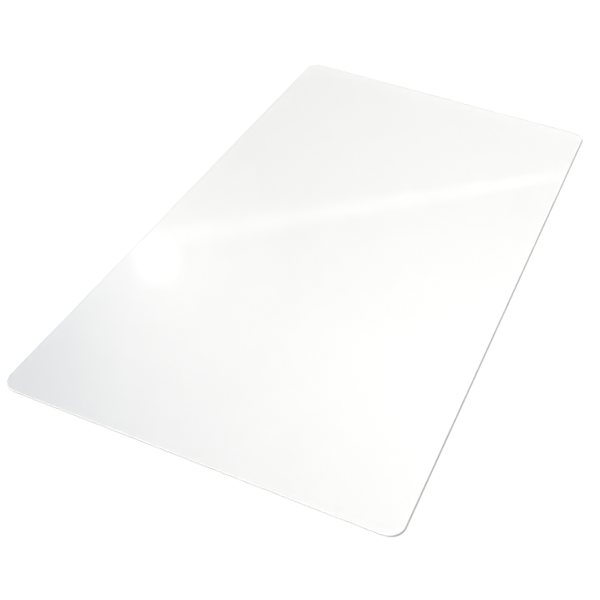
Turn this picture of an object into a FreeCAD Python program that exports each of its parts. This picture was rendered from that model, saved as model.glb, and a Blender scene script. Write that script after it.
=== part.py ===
import FreeCAD, Part
import math
import os
import Sketcher

# A flat chair mat for a hard floor: three clear plastic sheets, bonded face to face
# and cut to one outline with rounded corners.
#
#   wear_layer   hard glossy sheet on top, which the castors roll on
#   core_sheet   flexible sheet that gives the mat its thickness
#   grip_layer   soft sheet underneath, which clings to the floor
#
# Frame, in millimetres: the origin is on the floor at the centre of the underside,
# X runs across the mat, Y runs along it and Z points up.

PARTS_FOLDER = "parts"
FLAT_WITHIN = 1e-6

# alias in the sheet, value in mm, what it is
DRIVING_DIMENSIONS = [
    ("mat_width", 800, "short side of the outline, along X"),
    ("mat_length", 1500, "long side of the outline, along Y"),
    ("corner_radius", 32, "radius of the four corners of the outline"),
    ("wear_thickness", 0.8, "hard sheet on top"),
    ("core_thickness", 1.7, "flexible sheet in the middle"),
    ("grip_thickness", 0.5, "soft sheet underneath"),
    ("rim_round", 0.5, "radius that takes the sharpness off the top edge"),
    ("underside_bevel", 0.15, "bevel left by the cutting die round the bottom edge"),
]


def make_dimension_sheet(doc):
    """Put the driving dimensions in a spreadsheet, one aliased cell each."""
    sheet = doc.addObject("Spreadsheet::Sheet", "Dimensions")
    for row, (alias, value, meaning) in enumerate(DRIVING_DIMENSIONS, start=1):
        sheet.set(f"A{row}", meaning)
        sheet.set(f"B{row}", str(value))
        sheet.setAlias(f"B{row}", alias)
    doc.recompute()
    return sheet


def origin_plane(body, role):
    """Return one of the body's own origin planes by its role, such as XY_Plane."""
    for feature in body.Origin.OriginFeatures:
        if feature.Role == role:
            return feature
    raise RuntimeError(f"{body.Label} has no {role}")


def draw_outline(body, sheet):
    """Sketch the mat's outline on the body's XY plane, centred on the origin.

    Four straight sides and four equal corner arcs, each tangent to the next.
    """
    sketch = body.newObject("Sketcher::SketchObject", f"{body.Name}_outline")
    sketch.AttachmentSupport = [(origin_plane(body, "XY_Plane"), "")]
    sketch.MapMode = "FlatFace"

    half_width = sheet.mat_width / 2
    half_length = sheet.mat_length / 2
    radius = sheet.corner_radius
    in_x = half_width - radius
    in_y = half_length - radius
    quarter_turn = math.pi / 2

    def point(x, y):
        return FreeCAD.Vector(x, y, 0)

    def side(start, end):
        return sketch.addGeometry(Part.LineSegment(start, end), False)

    def corner(centre, quarters_round):
        circle = Part.Circle(centre, FreeCAD.Vector(0, 0, 1), radius)
        start = quarters_round * quarter_turn
        return sketch.addGeometry(Part.ArcOfCircle(circle, start, start + quarter_turn), False)

    # anticlockwise from the front side
    front = side(point(-in_x, -half_length), point(in_x, -half_length))
    front_right = corner(point(in_x, -in_y), 3)
    right = side(point(half_width, -in_y), point(half_width, in_y))
    back_right = corner(point(in_x, in_y), 0)
    back = side(point(in_x, half_length), point(-in_x, half_length))
    back_left = corner(point(-in_x, in_y), 1)
    left = side(point(-half_width, in_y), point(-half_width, -in_y))
    front_left = corner(point(-in_x, -in_y), 2)

    start_point = 1
    end_point = 2
    centre_point = 3
    sketch_origin = (-1, 1)

    loop = [front, front_right, right, back_right, back, back_left, left, front_left]
    for piece, following in zip(loop, loop[1:] + loop[:1]):
        sketch.addConstraint(
            Sketcher.Constraint("Tangent", piece, end_point, following, start_point))
    for flat_side in (front, back):
        sketch.addConstraint(Sketcher.Constraint("Horizontal", flat_side))
    for upright_side in (left, right):
        sketch.addConstraint(Sketcher.Constraint("Vertical", upright_side))
    for other_corner in (back_right, back_left, front_left):
        sketch.addConstraint(Sketcher.Constraint("Equal", front_right, other_corner))
    sketch.addConstraint(
        Sketcher.Constraint("Symmetric", front_right, centre_point,
                            back_left, centre_point, *sketch_origin))

    def bind(name, constraint, expression):
        index = sketch.addConstraint(constraint)
        sketch.renameConstraint(index, name)
        sketch.setExpression(f"Constraints.{name}", expression)

    bind("corner_radius",
         Sketcher.Constraint("Radius", front_right, radius),
         "Dimensions.corner_radius")
    bind("mat_width",
         Sketcher.Constraint("DistanceX", left, start_point, right, start_point, 2 * half_width),
         "Dimensions.mat_width")
    bind("mat_length",
         Sketcher.Constraint("DistanceY", front, start_point, back, start_point, 2 * half_length),
         "Dimensions.mat_length")
    return sketch


def level_face(feature, highest):
    """Name the feature's highest or lowest horizontal face, such as Face9."""
    faces = enumerate(feature.Shape.Faces, start=1)
    level = [(face.CenterOfMass.z, f"Face{number}") for number, face in faces
             if face.BoundBox.ZLength < FLAT_WITHIN]
    return max(level)[1] if highest else min(level)[1]


def make_layer(doc, sheet, label, thickness, underside):
    """Pad the outline into one layer and seat it at the height of its underside."""
    body = doc.addObject("PartDesign::Body", label)
    body.Label = label
    outline = draw_outline(body, sheet)
    pad = body.newObject("PartDesign::Pad", f"{label}_pad")
    pad.Profile = outline
    pad.setExpression("Length", thickness)
    body.setExpression("Placement.Base.z", underside)
    doc.recompute()
    return body, pad


def make_wear_layer(doc, sheet):
    """Hard top sheet, with its upper rim rounded over so that it doesn't cut or chip."""
    body, pad = make_layer(doc, sheet, "wear_layer", "Dimensions.wear_thickness",
                           "Dimensions.grip_thickness + Dimensions.core_thickness")
    rim = body.newObject("PartDesign::Fillet", "wear_layer_rim")
    rim.Base = (pad, [level_face(pad, highest=True)])
    rim.setExpression("Radius", "Dimensions.rim_round")
    return body


def make_core_sheet(doc, sheet):
    """Flexible middle sheet, square at its edges where it meets the other two."""
    body, _ = make_layer(doc, sheet, "core_sheet", "Dimensions.core_thickness",
                         "Dimensions.grip_thickness")
    return body


def make_grip_layer(doc, sheet):
    """Soft bottom sheet, with the small bevel that the cutting die leaves underneath."""
    body, pad = make_layer(doc, sheet, "grip_layer", "Dimensions.grip_thickness", "0")
    bevel = body.newObject("PartDesign::Chamfer", "grip_layer_bevel")
    bevel.Base = (pad, [level_face(pad, highest=False)])
    bevel.setExpression("Size", "Dimensions.underside_bevel")
    return body


def check_document(doc, layers):
    """Stop if any object failed to recompute or any layer isn't one valid solid."""
    for thing in doc.Objects:
        if {"Invalid", "Error"} & set(thing.State):
            raise RuntimeError(f"{thing.Label} did not recompute: {thing.State}")
    for layer in layers:
        shape = layer.Shape
        if shape.isNull() or not shape.isValid() or len(shape.Solids) != 1:
            raise RuntimeError(f"{layer.Label} is not one valid solid")


def export_layers(layers):
    """Write each layer to its own STEP file, named after it."""
    os.makedirs(PARTS_FOLDER, exist_ok=True)
    for layer in layers:
        layer.Shape.exportStep(os.path.join(PARTS_FOLDER, f"{layer.Label}.step"))
        box = layer.Shape.optimalBoundingBox()
        print(f"{layer.Label}: {box.XLength:.2f} x {box.YLength:.2f} x {box.ZLength:.2f} mm"
              f" from z {box.ZMin:.2f}, {layer.Shape.Volume / 1000:.1f} cm3")


doc = FreeCAD.newDocument("chair_mat")
dimensions = make_dimension_sheet(doc)
mat_layers = [
    make_wear_layer(doc, dimensions),
    make_core_sheet(doc, dimensions),
    make_grip_layer(doc, dimensions),
]
doc.recompute()
check_document(doc, mat_layers)
export_layers(mat_layers)
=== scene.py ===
import math

import bpy
from mathutils import Matrix, Vector


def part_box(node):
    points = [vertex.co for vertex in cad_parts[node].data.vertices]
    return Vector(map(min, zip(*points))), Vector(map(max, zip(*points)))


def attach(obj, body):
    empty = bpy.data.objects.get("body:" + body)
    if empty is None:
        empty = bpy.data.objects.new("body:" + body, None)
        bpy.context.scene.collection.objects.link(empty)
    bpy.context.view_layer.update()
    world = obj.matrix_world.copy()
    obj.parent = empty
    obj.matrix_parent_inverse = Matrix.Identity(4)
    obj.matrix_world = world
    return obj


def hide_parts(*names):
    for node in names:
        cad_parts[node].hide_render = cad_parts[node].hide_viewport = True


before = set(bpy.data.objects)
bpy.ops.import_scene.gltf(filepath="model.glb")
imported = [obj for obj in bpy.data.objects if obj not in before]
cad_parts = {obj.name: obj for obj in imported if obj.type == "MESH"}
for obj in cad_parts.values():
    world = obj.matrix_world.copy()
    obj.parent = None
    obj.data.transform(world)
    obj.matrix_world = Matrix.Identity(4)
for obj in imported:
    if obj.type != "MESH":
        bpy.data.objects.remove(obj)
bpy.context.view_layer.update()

# --- Grip layer --------------------------------------------------------------------------
# The soft clear ply that lies on the floor and clings to it. It is calendered PVC with a
# satin underside, and a steel-rule die cuts it to a rounded rectangle and leaves a small
# bevel round its lower edge. The rule that cuts this ply cuts the other two as well.

MILLIMETRE = 0.001
mat_low, mat_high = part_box("core_sheet")
MAT_WIDTH = mat_high.x - mat_low.x
MAT_LENGTH = mat_high.y - mat_low.y
CORNER_RADIUS = 32 * MILLIMETRE
BEVEL = 0.15 * MILLIMETRE
CORNER_CELLS = 12        # out from a corner's centre, and along each half of its arc
CELLS_ACROSS = 8
CELLS_ALONG = 15
RIM_ROWS = 5
BEVEL_ROWS = 1
HALF_ROW = 0.5
TINY = 0.001             # of a corner's radius
WELD_WITHIN = 0.001 * MILLIMETRE
LEVEL = 0.99             # a face is level where its normal's height is over this


def cutting_rule():
    """Build the node tree that turns a box of cells into one die-cut ply.

    The cells in the box's four corner squares are bent into quarter discs, and the rest are
    stretched to the ply's size. The rows of cells up its walls follow the bevel, the straight
    cut and the rounded rim.
    """
    rule = bpy.data.node_groups.new("ply cut to outline", "GeometryNodeTree")
    for name, kind in (
        ("Width", "NodeSocketFloat"),
        ("Length", "NodeSocketFloat"),
        ("Corner Radius", "NodeSocketFloat"),
        ("Underside", "NodeSocketFloat"),
        ("Top", "NodeSocketFloat"),
        ("Rim Radius", "NodeSocketFloat"),
        ("Bevel", "NodeSocketFloat"),
        ("Upper Face", "NodeSocketMaterial"),
        ("Cut Edge", "NodeSocketMaterial"),
        ("Lower Face", "NodeSocketMaterial"),
    ):
        rule.interface.new_socket(name, in_out="INPUT", socket_type=kind)
    rule.interface.new_socket("Ply", in_out="OUTPUT", socket_type="NodeSocketGeometry")
    given = rule.nodes.new("NodeGroupInput").outputs
    result = rule.nodes.new("NodeGroupOutput")

    def link(term, socket):
        if isinstance(term, bpy.types.NodeSocket):
            rule.links.new(term, socket)
        else:
            socket.default_value = term

    def work(operation, *terms):
        node = rule.nodes.new("ShaderNodeMath")
        node.operation = operation
        for term, socket in zip(terms, node.inputs):
            link(term, socket)
        return node.outputs[0]

    def either(test, if_true, if_false):
        return work("ADD", work("MULTIPLY", test, if_true),
                    work("MULTIPLY", work("SUBTRACT", 1.0, test), if_false))

    wall_rows = BEVEL_ROWS + 1 + RIM_ROWS
    cells = Vector((2 * CORNER_CELLS + CELLS_ACROSS, 2 * CORNER_CELLS + CELLS_ALONG, wall_rows))
    box = rule.nodes.new("GeometryNodeMeshCube")
    box.inputs["Size"].default_value = cells
    box.inputs["Vertices X"].default_value = int(cells.x) + 1
    box.inputs["Vertices Y"].default_value = int(cells.y) + 1
    box.inputs["Vertices Z"].default_value = int(cells.z) + 1

    place = rule.nodes.new("ShaderNodeSeparateXYZ")
    rule.links.new(rule.nodes.new("GeometryNodeInputPosition").outputs[0], place.inputs[0])
    row = work("ADD", place.outputs["Z"], wall_rows / 2)

    # how far each row of the wall is set in from the outline, and its height
    up_rim = work("MULTIPLY", work("MAXIMUM", work("SUBTRACT", row, BEVEL_ROWS + 1.0), 0.0),
                  math.pi / 2 / RIM_ROWS)
    rim_inset = work("MULTIPLY", given["Rim Radius"], work("SUBTRACT", 1.0, work("COSINE", up_rim)))
    rim_drop = work("MULTIPLY", given["Rim Radius"], work("SUBTRACT", 1.0, work("SINE", up_rim)))
    down_bevel = work("DIVIDE", work("MAXIMUM", work("SUBTRACT", float(BEVEL_ROWS), row), 0.0),
                      float(BEVEL_ROWS))
    bevel_inset = work("MULTIPLY", given["Bevel"], down_bevel)
    bevel_rise = work("SUBTRACT", given["Bevel"], bevel_inset)
    inset = work("ADD", rim_inset, bevel_inset)
    in_rim = work("GREATER_THAN", row, BEVEL_ROWS + HALF_ROW)
    height = either(in_rim, work("SUBTRACT", given["Top"], rim_drop),
                    work("ADD", given["Underside"], bevel_rise))

    # the part of each coordinate that is short of the corner squares, and the part in them
    def along(axis, side, middle_cells):
        reach = work("ABSOLUTE", place.outputs[axis])
        straight = work("SUBTRACT", work("MULTIPLY", given[side], 0.5), given["Corner Radius"])
        middle = work("DIVIDE", work("MINIMUM", reach, middle_cells / 2), middle_cells / 2)
        beyond = work("DIVIDE", work("MAXIMUM", work("SUBTRACT", reach, middle_cells / 2), 0.0),
                      float(CORNER_CELLS))
        return work("MULTIPLY", middle, straight), beyond, work("SIGN", place.outputs[axis])

    base_x, corner_x, sign_x = along("X", "Width", CELLS_ACROSS)
    base_y, corner_y, sign_y = along("Y", "Length", CELLS_ALONG)
    ring = work("MAXIMUM", corner_x, corner_y)
    turn = work("MULTIPLY", math.pi / 4,
                work("DIVIDE", work("MINIMUM", corner_x, corner_y), work("MAXIMUM", ring, TINY)))
    radius = work("MULTIPLY", ring, work("SUBTRACT", given["Corner Radius"], inset))
    near = work("MULTIPLY", radius, work("COSINE", turn))
    far = work("MULTIPLY", radius, work("SINE", turn))
    nearer_x = work("GREATER_THAN", corner_x, work("SUBTRACT", corner_y, TINY))

    target = rule.nodes.new("ShaderNodeCombineXYZ")
    rule.links.new(work("MULTIPLY", sign_x, work("ADD", base_x, either(nearer_x, near, far))),
                   target.inputs["X"])
    rule.links.new(work("MULTIPLY", sign_y, work("ADD", base_y, either(nearer_x, far, near))),
                   target.inputs["Y"])
    rule.links.new(height, target.inputs["Z"])
    bend = rule.nodes.new("GeometryNodeSetPosition")
    rule.links.new(box.outputs["Mesh"], bend.inputs["Geometry"])
    rule.links.new(target.outputs[0], bend.inputs["Position"])

    # rows with no rim or bevel to follow close up, and are welded
    weld = rule.nodes.new("GeometryNodeMergeByDistance")
    weld.inputs["Distance"].default_value = WELD_WITHIN
    rule.links.new(bend.outputs[0], weld.inputs["Geometry"])

    facing = rule.nodes.new("ShaderNodeSeparateXYZ")
    rule.links.new(rule.nodes.new("GeometryNodeInputNormal").outputs[0], facing.inputs[0])
    upward = work("GREATER_THAN", facing.outputs["Z"], LEVEL)
    downward = work("LESS_THAN", facing.outputs["Z"], -LEVEL)
    edgewise = work("SUBTRACT", 1.0, work("ADD", upward, downward))
    shade = rule.nodes.new("GeometryNodeSetShadeSmooth")
    rule.links.new(weld.outputs[0], shade.inputs["Geometry"])
    rule.links.new(edgewise, shade.inputs["Shade Smooth"])

    shape = rule.nodes.new("GeometryNodeRealizeInstances")
    rule.links.new(shade.outputs[0], shape.inputs[0])
    for faces, finish in ((upward, "Upper Face"), (edgewise, "Cut Edge"), (downward, "Lower Face")):
        paint = rule.nodes.new("GeometryNodeSetMaterial")
        rule.links.new(shape.outputs[0], paint.inputs["Geometry"])
        rule.links.new(faces, paint.inputs["Selection"])
        rule.links.new(given[finish], paint.inputs["Material"])
        shape = paint
    rule.links.new(shape.outputs[0], result.inputs[0])
    return rule


ply_rule = cutting_rule()


def cut_ply(name, **inputs):
    """Cut one ply by the rule and return it as a plain mesh object."""
    blank = bpy.data.objects.new(name + "_blank", bpy.data.meshes.new(name + "_blank"))
    bpy.context.scene.collection.objects.link(blank)
    press = blank.modifiers.new("press", "NODES")
    press.node_group = ply_rule
    inputs = {
        "Width": MAT_WIDTH,
        "Length": MAT_LENGTH,
        "Corner Radius": CORNER_RADIUS,
        "Rim Radius": 0.0,
        "Bevel": 0.0,
        **inputs,
    }
    for socket in ply_rule.interface.items_tree:
        if socket.in_out == "INPUT":
            press[socket.identifier] = inputs[socket.name]
    blank.update_tag()
    finished = blank.evaluated_get(bpy.context.evaluated_depsgraph_get())
    mesh = bpy.data.meshes.new_from_object(finished)
    mesh.name = name
    ply = bpy.data.objects.new(name, mesh)
    bpy.context.scene.collection.objects.link(ply)
    bpy.data.objects.remove(blank)
    return ply


def clear_plastic(name, colour, ior, roughness):
    """A clear plastic face: the finish, its shader, nodes and links, and where the piece's
    own coordinates come from."""
    finish = bpy.data.materials.new(name)
    finish.use_nodes = True
    nodes = finish.node_tree.nodes
    links = finish.node_tree.links
    shader = nodes["Principled BSDF"]
    shader.inputs["Base Color"].default_value = (*colour, 1.0)
    shader.inputs["Transmission Weight"].default_value = 1.0
    shader.inputs["IOR"].default_value = ior
    shader.inputs["Roughness"].default_value = roughness
    here = nodes.new("ShaderNodeTexCoord").outputs["Object"]
    return finish, shader, nodes, links, here


def let_lamps_through(nodes, links, shader, inwards_only=False):
    """Let light on its way to the floor go straight through a clear face, less what the
    face's tint and gloss keep back. A cut edge lets it into the sheet but not out again,
    because light that meets the edge from within is thrown back."""
    ior = shader.inputs["IOR"].default_value
    kept_by_gloss = ((ior - 1.0) / (ior + 1.0)) ** 2
    tint = shader.inputs["Base Color"].default_value
    straight = nodes.new("ShaderNodeBsdfTransparent")
    passed = [math.sqrt(channel) * (1.0 - kept_by_gloss) for channel in tint[:3]]
    straight.inputs["Color"].default_value = (*passed, 1.0)
    ray = nodes.new("ShaderNodeLightPath")
    lamp_ray = nodes.new("ShaderNodeMath")
    lamp_ray.operation = "MAXIMUM"
    links.new(ray.outputs["Is Shadow Ray"], lamp_ray.inputs[0])
    links.new(ray.outputs["Is Diffuse Ray"], lamp_ray.inputs[1])
    passes = lamp_ray.outputs[0]
    if inwards_only:
        # the floor looks back along the light's path, so it meets that edge from within
        from_within = nodes.new("ShaderNodeNewGeometry").outputs["Backfacing"]
        inwards = nodes.new("ShaderNodeMath")
        inwards.operation = "MULTIPLY"
        links.new(passes, inwards.inputs[0])
        links.new(from_within, inwards.inputs[1])
        passes = inwards.outputs[0]
    choice = nodes.new("ShaderNodeMixShader")
    links.new(passes, choice.inputs[0])
    links.new(shader.outputs[0], choice.inputs[1])
    links.new(straight.outputs[0], choice.inputs[2])
    links.new(choice.outputs[0], nodes["Material Output"].inputs["Surface"])


def mottle(nodes, links, here, scale, detail, stretch=(1.0, 1.0, 1.0)):
    """Soft noise on the piece's own coordinates, with scale in lumps per metre."""
    placed = nodes.new("ShaderNodeMapping")
    placed.inputs["Scale"].default_value = stretch
    links.new(here, placed.inputs["Vector"])
    noise = nodes.new("ShaderNodeTexNoise")
    noise.inputs["Scale"].default_value = scale
    noise.inputs["Detail"].default_value = detail
    links.new(placed.outputs[0], noise.inputs["Vector"])
    return noise.outputs["Fac"]


def spread(nodes, links, value, low, high, from_low=0.3, from_high=0.7):
    """Spread a noise over a range of roughness, height or strength."""
    ranged = nodes.new("ShaderNodeMapRange")
    ranged.inputs["From Min"].default_value = from_low
    ranged.inputs["From Max"].default_value = from_high
    ranged.inputs["To Min"].default_value = low
    ranged.inputs["To Max"].default_value = high
    links.new(value, ranged.inputs["Value"])
    return ranged.outputs["Result"]


def raise_by(nodes, links, shader, height, metres, under=None):
    """Raise the surface by a height field, over any bump already made."""
    bump = nodes.new("ShaderNodeBump")
    bump.inputs["Strength"].default_value = 1.0
    bump.inputs["Distance"].default_value = metres
    links.new(height, bump.inputs["Height"])
    if under is not None:
        links.new(under, bump.inputs["Normal"])
    links.new(bump.outputs["Normal"], shader.inputs["Normal"])
    return bump.outputs["Normal"]


PVC_IOR = 1.53
GRIP_TINT = (0.860, 0.865, 0.869)
EDGE_TINT = (0.9, 0.905, 0.91)
EDGE_CLEARNESS = 0.6


def satin_underside():
    """The grip layer's underside: a fine satin grain from the embossing roll."""
    finish, shader, nodes, links, here = clear_plastic("satin underside", GRIP_TINT, PVC_IOR, 0.2)
    grain = mottle(nodes, links, here, scale=2500.0, detail=1.0)
    links.new(spread(nodes, links, grain, low=0.16, high=0.26), shader.inputs["Roughness"])
    raise_by(nodes, links, shader, grain, metres=0.0004 * MILLIMETRE)
    let_lamps_through(nodes, links, shader)
    return finish


def cut_edge(name, tint, clearness):
    """A die-cut edge, a little frosted, with drag lines along the cut and faint chatter
    across it."""
    finish, shader, nodes, links, here = clear_plastic(name, tint, PVC_IOR, 0.1)
    shader.inputs["Transmission Weight"].default_value = clearness
    drag = mottle(nodes, links, here, scale=60.0, detail=3.0, stretch=(1.0, 1.0, 120.0))
    chatter = mottle(nodes, links, here, scale=900.0, detail=1.0, stretch=(1.0, 1.0, 0.05))
    links.new(spread(nodes, links, chatter, low=0.06, high=0.14), shader.inputs["Roughness"])
    lines = raise_by(nodes, links, shader, drag, metres=0.01 * MILLIMETRE)
    raise_by(nodes, links, shader, chatter, metres=0.004 * MILLIMETRE, under=lines)
    let_lamps_through(nodes, links, shader, inwards_only=True)
    return finish


def bonded_face():
    """A face wetted by the clear adhesive. The plies and the adhesive have one index, so the
    face doesn't show at all."""
    finish = bpy.data.materials.new("bonded face")
    finish.use_nodes = True
    nodes = finish.node_tree.nodes
    nodes.remove(nodes["Principled BSDF"])
    through = nodes.new("ShaderNodeBsdfTransparent")
    finish.node_tree.links.new(through.outputs[0], nodes["Material Output"].inputs["Surface"])
    return finish


bonded = bonded_face()
grip_low, grip_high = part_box("grip_layer")
grip = cut_ply(
    "grip_ply",
    **{
        "Underside": grip_low.z,
        "Top": grip_high.z,
        "Bevel": BEVEL,
        "Upper Face": bonded,
        "Cut Edge": cut_edge("grip cut edge", EDGE_TINT, EDGE_CLEARNESS),
        "Lower Face": satin_underside(),
    },
)
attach(grip, "root")
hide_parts("grip_layer")

# --- Core sheet --------------------------------------------------------------------------
# The flexible clear ply that gives the mat its thickness. It is extruded PVC, laid on the
# grip layer with clear adhesive, and both its faces are bonded, so only its cut edge shows.

core_low, core_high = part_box("core_sheet")
core = cut_ply(
    "core_ply",
    **{
        "Underside": core_low.z,
        "Top": core_high.z,
        "Upper Face": bonded,
        "Cut Edge": cut_edge("core cut edge", EDGE_TINT, EDGE_CLEARNESS),
        "Lower Face": bonded,
    },
)
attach(core, "root")
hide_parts("core_sheet")

# --- Wear layer --------------------------------------------------------------------------
# The hard glossy ply on top that the castors roll on. It is press-polished rigid PVC, bonded
# to the core. Its upper rim is rounded over so that it doesn't chip or catch a foot, and the
# rounding leaves the cut frosted.

WEAR_TINT = (0.860, 0.865, 0.869)
RIM_TINT = (0.95, 0.955, 0.955)
RIM_CLEARNESS = 0.3
RIM_RADIUS = 0.5 * MILLIMETRE


def polished_face():
    """The press-polished top: a mirror gloss, a little duller in patches, over a surface that
    wanders by a hundredth of a millimetre."""
    finish, shader, nodes, links, here = clear_plastic("polished face", WEAR_TINT, PVC_IOR, 0.03)
    cloud = mottle(nodes, links, here, scale=9.0, detail=2.0)
    links.new(spread(nodes, links, cloud, low=0.02, high=0.045), shader.inputs["Roughness"])
    wander = mottle(nodes, links, here, scale=7.0, detail=0.0)
    raise_by(nodes, links, shader, wander, metres=0.01 * MILLIMETRE)
    let_lamps_through(nodes, links, shader)
    return finish


wear_low, wear_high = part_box("wear_layer")
wear = cut_ply(
    "wear_ply",
    **{
        "Underside": wear_low.z,
        "Top": wear_high.z,
        "Rim Radius": RIM_RADIUS,
        "Upper Face": polished_face(),
        "Cut Edge": cut_edge("wear cut edge", RIM_TINT, RIM_CLEARNESS),
        "Lower Face": bonded,
    },
)
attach(wear, "root")
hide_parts("wear_layer")

# --- Floor -------------------------------------------------------------------------------
# A plain pale hard floor, wide enough to end near the horizon. The mat lies on it with a film
# of air underneath, a fraction of a millimetre thick, as any flat sheet does.

FLOOR_ACROSS = 120.0
AIR_FILM = 0.3 * MILLIMETRE
FLOOR_PAINT = (0.538, 0.538, 0.538)


def pale_floor():
    floor_mesh = bpy.data.meshes.new("floor")
    half = FLOOR_ACROSS / 2
    corners = [(-half, -half), (half, -half), (half, half), (-half, half)]
    floor_mesh.from_pydata([(x, y, -AIR_FILM) for x, y in corners], [], [(0, 1, 2, 3)])
    floor = bpy.data.objects.new("floor", floor_mesh)
    bpy.context.scene.collection.objects.link(floor)
    paint = bpy.data.materials.new("pale floor")
    paint.use_nodes = True
    shader = paint.node_tree.nodes["Principled BSDF"]
    shader.inputs["Base Color"].default_value = (*FLOOR_PAINT, 1.0)
    shader.inputs["Roughness"].default_value = 1.0
    shader.inputs["Specular IOR Level"].default_value = 0.0
    floor_mesh.materials.append(paint)


pale_floor()

# --- Studio light ------------------------------------------------------------------------
# A dim pale room with a bright window wall ahead, a dimmer, bluish doorway to the left, and a
# long strip light that ends in a round lamp. A soft box behind lights the near edge, and a key
# lamp on the left lights the floor.

WALL_LIGHT = 0.4
WINDOW_LIGHT = 1.38          # at the foot of the wall
WINDOW_TOP_LIGHT = 4.1       # added towards its top
WINDOW_TOP_SHADE = 0.7       # what is left of that in its highest part
WINDOW_NARROWNESS = 4.0
LEAST_LEVEL = 0.3            # so that straight up isn't divided by nothing
DOORWAY = {"left": 65.5, "up": 42.5, "inner": 14.0, "outer": 24.3, "strength": 0.56}
STRIP_LOWER_EDGE = ((28.5, 36.0), (6.75, 31.2))
STRIP_UPPER_EDGE = ((28.3, 37.0), (6.5, 31.7))
STRIP_SOFTNESS = 0.1
STRIP = {"left": 17.0, "up": 34.0, "inner": 14.0, "outer": 17.0, "strength": 0.52}
LAMP_AT = {"left": 30.2, "up": 37.9}
SOFT_BOX = {"left": 188.0, "up": 46.0, "inner": 5.0, "outer": 20.0, "strength": 3.2}
ROOM_TONE = (1.0, 1.0, 0.965, 1.0)
DOORWAY_TONE = (0.72, 0.8, 1.45, 1.0)


def height(degrees):
    return math.sin(math.radians(degrees))


def towards(left, up):
    """A direction, given as an angle to the left of straight ahead (+Y) and a height above
    the horizon, in degrees."""
    level = math.cos(math.radians(up))
    left = math.radians(left)
    return Vector((-math.sin(left) * level, math.cos(left) * level, height(up)))


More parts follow.
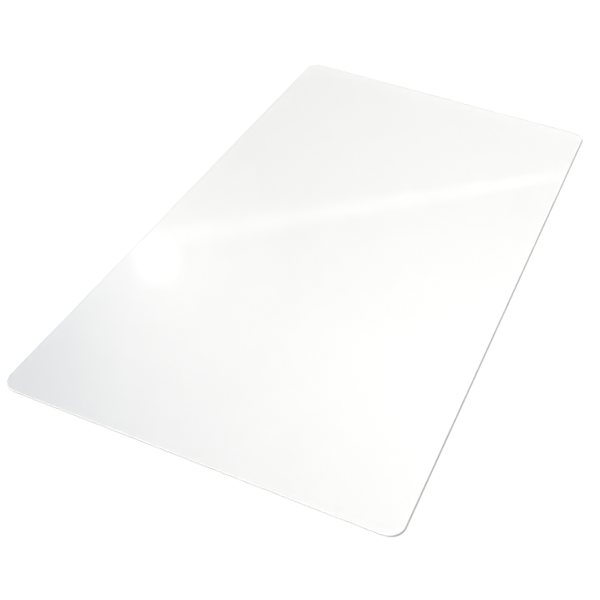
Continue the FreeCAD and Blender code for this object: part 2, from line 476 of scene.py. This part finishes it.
def studio():
    room = bpy.data.worlds.new("studio")
    bpy.context.scene.world = room
    room.use_nodes = True
    nodes = room.node_tree.nodes
    links = room.node_tree.links
    nodes.clear()
    look = nodes.new("ShaderNodeTexCoord").outputs["Generated"]

    def work(operation, *terms):
        node = nodes.new("ShaderNodeMath")
        node.operation = operation
        for term, socket in zip(terms, node.inputs):
            if isinstance(term, bpy.types.NodeSocket):
                links.new(term, socket)
            else:
                socket.default_value = term
        return node.outputs[0]

    def facing(direction):
        dot = nodes.new("ShaderNodeVectorMath")
        dot.operation = "DOT_PRODUCT"
        links.new(look, dot.inputs[0])
        dot.inputs[1].default_value = direction
        return dot.outputs["Value"]

    def ramp(value, start, end, low, high, smooth=True):
        ranged = nodes.new("ShaderNodeMapRange")
        ranged.interpolation_type = "SMOOTHSTEP" if smooth else "LINEAR"
        ranged.inputs["From Min"].default_value = start
        ranged.inputs["From Max"].default_value = end
        ranged.inputs["To Min"].default_value = low
        ranged.inputs["To Max"].default_value = high
        links.new(value, ranged.inputs["Value"])
        return ranged.outputs["Result"]

    def pool(left, up, inner, outer, strength):
        """Light within a cone: full out to the inner angle, gone by the outer one."""
        return ramp(facing(towards(left, up)), math.cos(math.radians(outer)),
                    math.cos(math.radians(inner)), 0.0, strength)

    # the window wall fades out to both sides and at its top
    part = nodes.new("ShaderNodeSeparateXYZ")
    links.new(look, part.inputs[0])
    across = work("MULTIPLY", part.outputs["X"], part.outputs["X"])
    along = work("MULTIPLY", part.outputs["Y"], part.outputs["Y"])
    flat = work("MAXIMUM", work("SQRT", work("ADD", across, along)), LEAST_LEVEL)
    ahead = work("MAXIMUM", work("DIVIDE", part.outputs["Y"], flat), 0.0)
    ahead = work("POWER", ahead, WINDOW_NARROWNESS)
    up = part.outputs["Z"]
    window = work("MULTIPLY", ramp(up, height(25.0), height(60.0), 0.0, WINDOW_TOP_LIGHT),
                  ramp(up, height(41.8), height(50.2), 1.0, WINDOW_TOP_SHADE))
    window = work("MULTIPLY", ahead, work("ADD", window, WINDOW_LIGHT))
    window = work("MULTIPLY", window, ramp(up, height(52.0), height(62.0), 1.0, 0.0))
    doorway = pool(**DOORWAY)
    walls = work("MULTIPLY", work("ADD", window, WALL_LIGHT), work("SUBTRACT", 1.0, doorway))

    # the strip light lies between two edges that spread apart towards the lamp
    lower, upper = (towards(*left_end).cross(towards(*right_end)).normalized()
                    for left_end, right_end in (STRIP_LOWER_EDGE, STRIP_UPPER_EDGE))
    soft = math.sin(math.radians(STRIP_SOFTNESS))
    strip = work("MULTIPLY", ramp(facing(lower), -soft, soft, 1.0, 0.0),
                 ramp(facing(upper), -soft, soft, 0.0, 1.0))
    strip = work("MULTIPLY", strip, pool(**STRIP))

    lamp = pool(**LAMP_AT, inner=0.1, outer=1.6, strength=1.6)
    glow = work("ADD", pool(**LAMP_AT, inner=0.0, outer=4.2, strength=0.5),
                pool(**LAMP_AT, inner=0.0, outer=7.8, strength=0.52))

    light = work("ADD", work("ADD", walls, pool(**SOFT_BOX)),
                 work("ADD", strip, work("ADD", lamp, glow)))
    tone = nodes.new("ShaderNodeMix")
    tone.data_type = "RGBA"
    tone.inputs["A"].default_value = ROOM_TONE
    tone.inputs["B"].default_value = DOORWAY_TONE
    links.new(doorway, tone.inputs["Factor"])
    sky = nodes.new("ShaderNodeBackground")
    links.new(tone.outputs["Result"], sky.inputs["Color"])
    links.new(light, sky.inputs["Strength"])
    out = nodes.new("ShaderNodeOutputWorld")
    links.new(sky.outputs[0], out.inputs["Surface"])


studio()

KEY_FROM = (100.0, 46.0)
KEY_SPREAD = 20.0
KEY_POWER = 4.8


def key_light():
    """The key lamp. The plastic doesn't mirror it, so it lights the floor without whitening
    the mat as seen from the right."""
    lamp = bpy.data.lights.new("key", "SUN")
    lamp.energy = KEY_POWER
    lamp.angle = math.radians(KEY_SPREAD)
    key = bpy.data.objects.new("key", lamp)
    bpy.context.scene.collection.objects.link(key)
    key.matrix_world = towards(*KEY_FROM).to_track_quat("Z", "Y").to_matrix().to_4x4()
    key.visible_glossy = False
    key.visible_transmission = False


key_light()

# --- Camera ------------------------------------------------------------------------------
# Standing at the mat's near right corner, above eye height, looking down its length, with a
# slight roll.

CAMERA_AT = Vector((0.6023, -1.8782, 1.4441))
AIMED_AT = Vector((-0.0015, -0.2477, 0.0))
ROLL = math.radians(5.16)
SENSOR = 36.0
LENS = 63.88


def camera():
    lens = bpy.data.cameras.new("camera")
    lens.sensor_width = SENSOR
    lens.lens = LENS
    lens.clip_end = 100.0
    view = bpy.data.objects.new("camera", lens)
    bpy.context.scene.collection.objects.link(view)
    aim = (AIMED_AT - CAMERA_AT).to_track_quat("-Z", "Y").to_matrix().to_4x4()
    view.matrix_world = Matrix.Translation(CAMERA_AT) @ aim @ Matrix.Rotation(ROLL, 4, "Z")
    bpy.context.scene.camera = view
    bpy.context.scene.view_settings.view_transform = "Standard"

    # light bounces many times between the plies' faces before it gets out
    tracing = bpy.context.scene.cycles
    tracing.transparent_max_bounces = 64
    tracing.max_bounces = 32
    tracing.transmission_bounces = 24
    tracing.diffuse_bounces = 8
    tracing.glossy_bounces = 12
    tracing.blur_glossy = 0.0


camera()
